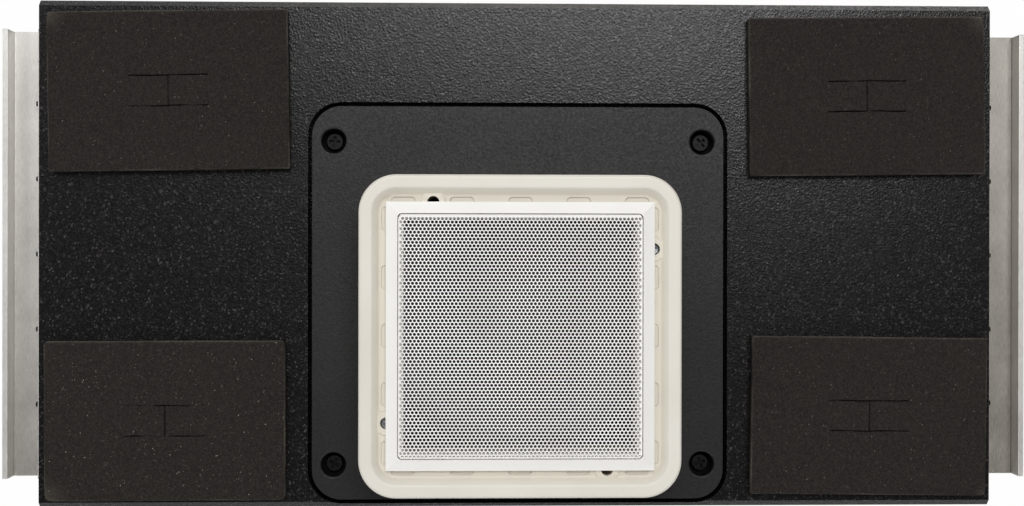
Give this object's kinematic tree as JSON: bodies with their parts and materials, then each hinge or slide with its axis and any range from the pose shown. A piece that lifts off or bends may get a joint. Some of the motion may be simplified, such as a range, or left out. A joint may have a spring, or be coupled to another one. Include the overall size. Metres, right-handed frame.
{
  "type": "in-ceiling subwoofer",
  "caption": "Sealed black in-ceiling subwoofer box with a square perforated grille in a moulded boot, foam isolation pads on its face and aluminium hanger rails at its ends.",
  "frame": {"origin": "centre of the box's back face, on which it lies", "axes": "+Z out of the face that turns to the room, +X along the box towards the right rail, +Y across the box towards the terminal cup"},
  "size_m": [0.655, 0.3254, 0.21],
  "materials": {
    "textured_black": "coarse textured black paint on fibreboard",
    "raw_board": "bare fibreboard",
    "wool": "loose polyester wadding",
    "foam": "dark open-cell foam",
    "plate_black": "fine satin grain",
    "seal": "matt closed-cell rubber",
    "black_screw": "black oxide",
    "zinc": "zinc plated",
    "cream_moulding": "satin moulded",
    "grille_white": "white powder coat",
    "basket_black": "black satin paint",
    "surround_rubber": "satin rubber",
    "cone_pulp": "black pulp",
    "copper_wire": "enamelled copper",
    "spider_cloth": "resin-set cloth",
    "ferrite": "dark ferrite",
    "bare_aluminium": "mill finish, brushed lengthwise",
    "brass": "plain",
    "cap_red": "gloss",
    "cap_black": "gloss",
    "wire_red": "wire insulation",
    "wire_black": "wire insulation"
  },
  "bodies": {
    "cabinet": {"front_baffle": "textured_black", "back_panel": "textured_black", "side_panel_upper": "textured_black", "side_panel_lower": "textured_black", "end_panel_left": "textured_black", "end_panel_right": "textured_black", "brace_left": "raw_board", "brace_right": "raw_board", "damping_wool": "wool", "foam_pad_upper_left": "foam", "foam_pad_upper_right": "foam", "foam_pad_lower_left": "foam", "foam_pad_lower_right": "foam", "aperture_plate": "plate_black", "driver_board": "textured_black", "plate_gasket": "seal", "plate_screws": "black_screw", "plate_tee_nuts": "zinc", "boot": "cream_moulding", "boot_gasket": "seal", "boot_screws": "zinc", "grille_frame": "grille_white", "grille_sheet": "grille_white", "sheet_ring": "grille_white", "basket": "basket_black", "driver_gasket": "seal", "surround": "surround_rubber", "spider": "spider_cloth", "top_plate": "zinc", "magnet": "ferrite", "yoke": "zinc", "tag_strip": "plate_black", "solder_tags": "brass", "driver_screws": "black_screw", "rail_left": "bare_aluminium", "rail_right": "bare_aluminium", "rail_screws": "black_screw", "terminal_cup": "plate_black", "cup_screws": "black_screw", "binding_posts": "brass", "post_nuts": "brass", "lead_red": "wire_red", "lead_black": "wire_black"},
    "cone": {"cone": "cone_pulp", "dust_cap": "cone_pulp", "coil_former": "bare_aluminium", "coil_winding": "copper_wire"},
    "cap_red": {"post_cap_red": "cap_red"},
    "cap_black": {"post_cap_black": "cap_black"}
  },
  "joints": [
    {"name": "cone_excursion", "type": "slide", "parent": "cabinet", "child": "cone", "axis": [0, 0, 1], "range_m": [-0.005, 0.005], "stiffness_N_per_m": 2500, "deforming": ["surround", "spider"]},
    {"name": "cap_red_turn", "type": "hinge", "parent": "cabinet", "child": "cap_red", "pos_m": [0.0095, 0.1462, 0.078], "axis": [0, 1, 0], "continuous": true},
    {"name": "cap_black_turn", "type": "hinge", "parent": "cabinet", "child": "cap_black", "pos_m": [-0.0095, 0.1462, 0.078], "axis": [0, 1, 0], "continuous": true}
  ]
}
